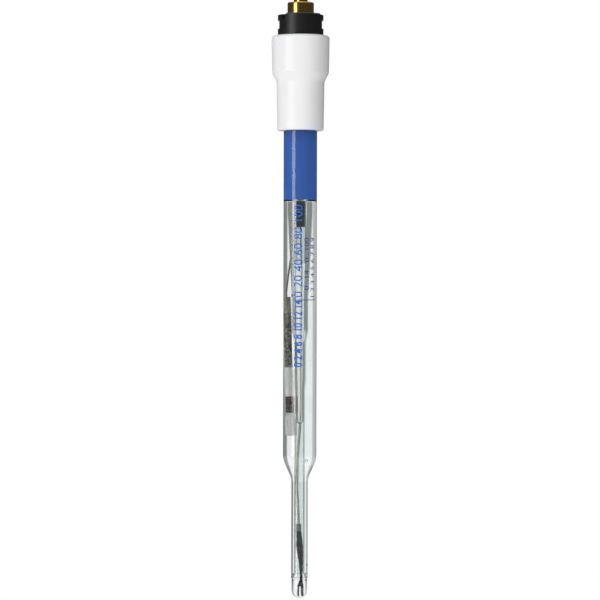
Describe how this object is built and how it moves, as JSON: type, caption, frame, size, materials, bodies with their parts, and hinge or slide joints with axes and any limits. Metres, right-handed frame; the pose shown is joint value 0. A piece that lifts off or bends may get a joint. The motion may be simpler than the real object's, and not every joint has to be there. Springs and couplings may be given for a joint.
{
  "type": "ph electrode",
  "caption": "Combination glass pH electrode: clear shaft with a blue zone, slim tip and membrane bulb, stepped white head, black bayonet collar and brass plug contacts.",
  "frame": {"origin": "on the axis of the shaft, at the underside of the white head", "axes": "+Z along the axis to the plug, -Z to the glass tip, -Y towards the camera of the picture"},
  "size_m": [0.0208, 0.0208, 0.2179],
  "materials": {
    "shaft_glass": "clear drawn tube, fire-polished",
    "stem_glass": "clear drawn tube",
    "membrane_glass": "thin blown bulb",
    "cartridge_glass": "clear drawn tube",
    "buffer_filling": "clear liquid",
    "electrolyte_filling": "clear gel",
    "clear_plastic": "clear extruded tube",
    "junction_ceramic": "porous, ground flush",
    "blue_plastic": "translucent extruded tube",
    "silver": "drawn wire, tarnished",
    "frit": "sintered, light grey",
    "trap_granules": "packed dark granules",
    "white_fibre": "packed fibre",
    "silver_chloride_granules": "packed speckled granules",
    "olive_fibre": "packed fibre",
    "black_jacket": "extruded jacket",
    "ivory_insulation": "extruded insulation",
    "ferrule_metal": "dull crimped",
    "silver_chloride_coat": "rough baked coat",
    "silicone": "moulded",
    "cement": "set cement",
    "white_plastic": "moulded, satin",
    "black_plastic": "moulded, satin",
    "seal_rubber": "moulded",
    "contact_brass": "turned and gilded",
    "insulator_plastic": "turned",
    "lead_insulation": "extruded insulation",
    "potting_resin": "cast"
  },
  "bodies": {
    "root": {"outer_glass": "shaft_glass", "inner_stem": "stem_glass", "glass_membrane": "membrane_glass", "junction_pin": "junction_ceramic", "blue_sleeve": "blue_plastic", "reference_wire": "silver", "cartridge_tube": "cartridge_glass", "cartridge_frit": "frit", "ion_trap": "trap_granules", "cartridge_plug": "white_fibre", "cartridge_fill": "silver_chloride_granules", "cartridge_packing": "olive_fibre", "lead_jacket": "black_jacket", "lead_tube": "clear_plastic", "signal_wire": "ivory_insulation", "wire_ferrule": "ferrule_metal", "inner_electrode": "silver_chloride_coat", "inner_buffer": "buffer_filling", "reference_electrolyte": "electrolyte_filling", "shaft_stopper": "silicone", "stem_stopper": "silicone", "shaft_cement": "cement", "head_shell": "white_plastic", "coupling_body": "black_plastic", "coupling_seal": "seal_rubber", "outer_contact_ring": "contact_brass", "outer_insulator": "insulator_plastic", "inner_contact_ring": "contact_brass", "inner_insulator": "insulator_plastic", "centre_contact": "contact_brass", "reference_lead": "lead_insulation", "screen_lead": "lead_insulation", "head_potting": "potting_resin"}
  },
  "joints": []
}
